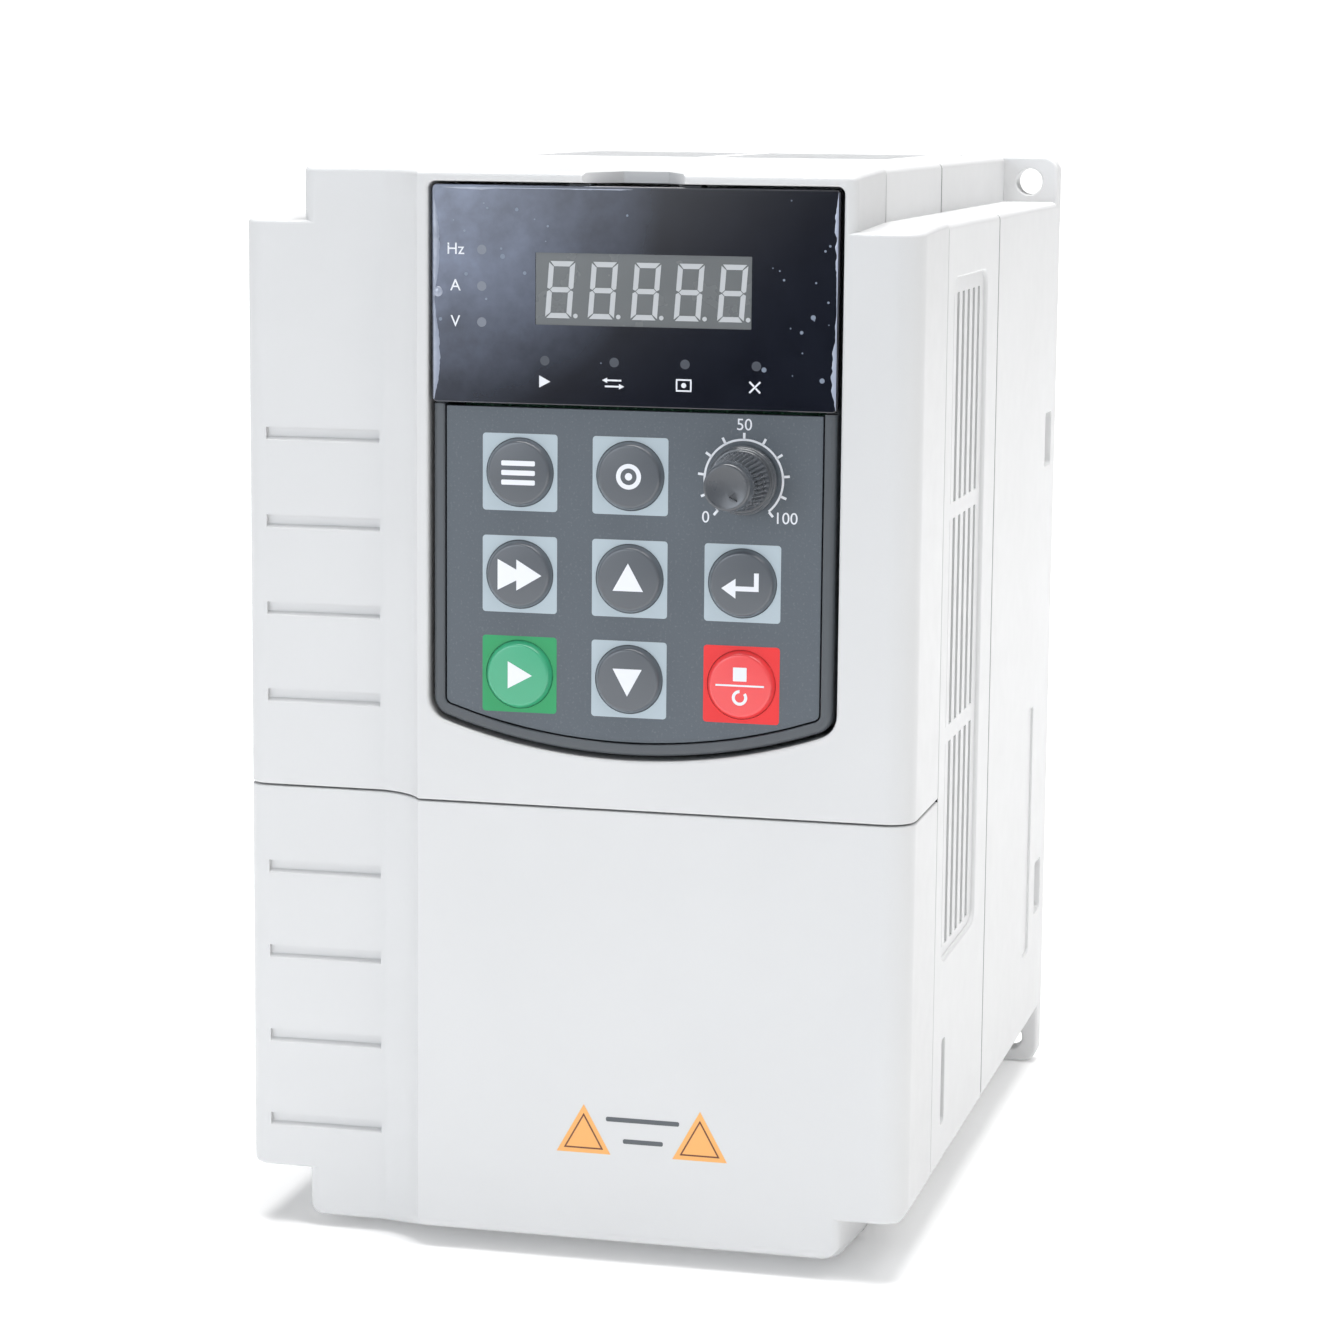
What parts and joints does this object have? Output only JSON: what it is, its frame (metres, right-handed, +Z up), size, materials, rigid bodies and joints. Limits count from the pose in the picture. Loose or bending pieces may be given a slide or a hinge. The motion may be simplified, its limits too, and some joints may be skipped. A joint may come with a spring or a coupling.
{
  "type": "variable frequency drive",
  "caption": "Wall-mounted motor speed drive: white vented case on a finned heatsink, with a pull-out keypad, display, speed knob, wiring cover and cooling fan.",
  "frame": {"origin": "the middle of the whole box, on the underside", "axes": "+Z up, the longest side; +X to the right seen from the front, the shortest side; the keypad and covers face -Y and the wall face looks along +Y"},
  "size_m": [0.118, 0.168, 0.185],
  "materials": {
    "case": "fine matt moulded plastic, light grey",
    "keypad_plastic": "fine matt moulded plastic, dark grey",
    "faceplate": "satin printed overlay",
    "window": "gloss smoked plastic",
    "dark_plastic": "matt moulded plastic, near black",
    "key": "satin dome",
    "key_green": "satin dome",
    "key_red": "satin dome",
    "knob": "satin moulded plastic with fine ribs",
    "aluminium": "extruded, as drawn",
    "steel": "zinc plated",
    "circuit_board": "green solder mask",
    "rubber": "matt",
    "capacitor": "heat-shrink sleeve",
    "terminal_plastic": "moulded",
    "terminal_green": "moulded"
  },
  "bodies": {
    "drive_body": {"board_post_1": "steel", "board_post_2": "steel", "board_post_3": "steel", "board_post_4": "steel", "cable_plate": "case", "control_board": "circuit_board", "control_terminal_block": "terminal_green", "current_sensor_left": "terminal_plastic", "current_sensor_right": "terminal_plastic", "dc_capacitor_1": "capacitor", "dc_capacitor_2": "capacitor", "dc_capacitor_3": "capacitor", "dc_capacitor_4": "capacitor", "grommet_left": "rubber", "grommet_middle": "rubber", "grommet_right": "rubber", "heatsink": "aluminium", "keypad_socket": "dark_plastic", "mid_housing": "case", "power_board": "circuit_board", "power_module": "dark_plastic", "power_terminal_block": "terminal_plastic", "precharge_relay": "terminal_plastic", "rear_chassis": "case", "supply_transformer": "dark_plastic", "terminal_screw_1": "steel", "terminal_screw_2": "steel", "terminal_screw_3": "steel", "terminal_screw_4": "steel", "terminal_screw_5": "steel", "terminal_screw_6": "steel", "terminal_screw_7": "steel", "terminal_screw_8": "steel", "terminal_screw_9": "steel", "upper_cover": "case"},
    "terminal_cover": {"terminal_cover": "case"},
    "keypad": {"keypad_housing": "keypad_plastic", "keypad_faceplate": "faceplate", "display_window": "window", "display_module": "dark_plastic", "keypad_board": "circuit_board", "key_mat": "rubber", "potentiometer": "steel", "keypad_plug": "dark_plastic"},
    "key_program": {"key_program": "key"},
    "key_function": {"key_function": "key"},
    "key_shift": {"key_shift": "key"},
    "key_up": {"key_up": "key"},
    "key_enter": {"key_enter": "key"},
    "key_run": {"key_run": "key_green"},
    "key_down": {"key_down": "key"},
    "key_stop": {"key_stop": "key_red"},
    "speed_knob": {"speed_knob": "knob", "potentiometer_shaft": "aluminium"},
    "fan_cassette": {"fan_cover": "case", "fan_frame": "dark_plastic"},
    "fan_rotor": {"fan_rotor": "dark_plastic"}
  },
  "joints": [
    {"name": "terminal_cover_pull", "type": "slide", "parent": "drive_body", "child": "terminal_cover", "axis": [0, -1, 0], "range_m": [0, 0.03]},
    {"name": "keypad_pull", "type": "slide", "parent": "drive_body", "child": "keypad", "axis": [0, -1, 0], "range_m": [0, 0.025]},
    {"name": "fan_cassette_lift", "type": "slide", "parent": "drive_body", "child": "fan_cassette", "axis": [0, 0, 1], "range_m": [0, 0.03]},
    {"name": "fan_spin", "type": "hinge", "parent": "fan_cassette", "child": "fan_rotor", "pos_m": [0, 0.0485, 0.168], "axis": [0, 0, 1], "continuous": true},
    {"name": "speed_knob_turn", "type": "hinge", "parent": "keypad", "child": "speed_knob", "pos_m": [0.02985, -0.076, 0.1345], "axis": [0, -1, 0], "range_deg": [0, 280]},
    {"name": "key_program_press", "type": "slide", "parent": "keypad", "child": "key_program", "axis": [0, 1, 0], "range_m": [0, 0.0007], "stiffness_N_per_m": 2500},
    {"name": "key_function_press", "type": "slide", "parent": "keypad", "child": "key_function", "axis": [0, 1, 0], "range_m": [0, 0.0007], "stiffness_N_per_m": 2500},
    {"name": "key_shift_press", "type": "slide", "parent": "keypad", "child": "key_shift", "axis": [0, 1, 0], "range_m": [0, 0.0007], "stiffness_N_per_m": 2500},
    {"name": "key_up_press", "type": "slide", "parent": "keypad", "child": "key_up", "axis": [0, 1, 0], "range_m": [0, 0.0007], "stiffness_N_per_m": 2500},
    {"name": "key_enter_press", "type": "slide", "parent": "keypad", "child": "key_enter", "axis": [0, 1, 0], "range_m": [0, 0.0007], "stiffness_N_per_m": 2500},
    {"name": "key_run_press", "type": "slide", "parent": "keypad", "child": "key_run", "axis": [0, 1, 0], "range_m": [0, 0.0007], "stiffness_N_per_m": 2500},
    {"name": "key_down_press", "type": "slide", "parent": "keypad", "child": "key_down", "axis": [0, 1, 0], "range_m": [0, 0.0007], "stiffness_N_per_m": 2500},
    {"name": "key_stop_press", "type": "slide", "parent": "keypad", "child": "key_stop", "axis": [0, 1, 0], "range_m": [0, 0.0007], "stiffness_N_per_m": 2500}
  ]
}
